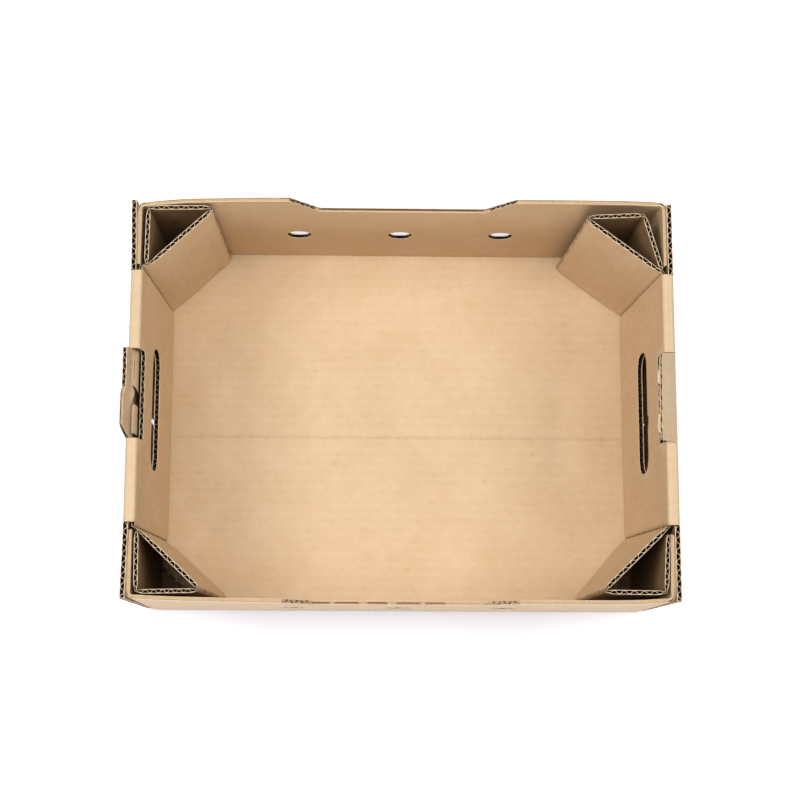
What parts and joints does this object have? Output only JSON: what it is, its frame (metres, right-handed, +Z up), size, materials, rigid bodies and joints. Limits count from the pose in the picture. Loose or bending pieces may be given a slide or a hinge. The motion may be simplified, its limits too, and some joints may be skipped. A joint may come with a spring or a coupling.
{
  "type": "cardboard tray box",
  "caption": "Open stackable tray folded from one sheet of corrugated board, with triangular corner posts, hand slots, vent holes and stacking tabs.",
  "frame": {"origin": "middle of the base's underside, on the surface that the tray stands on", "axes": "+X along the tray from the left end wall to the right one, +Y across it from the front long wall to the back one, +Z up out of the open top"},
  "size_m": [0.4026, 0.2996, 0.1721],
  "materials": {
    "kraft_board": "matte brown kraft corrugated board, raw fluted edges"
  },
  "bodies": {
    "root": {"tray": "kraft_board"}
  },
  "joints": []
}
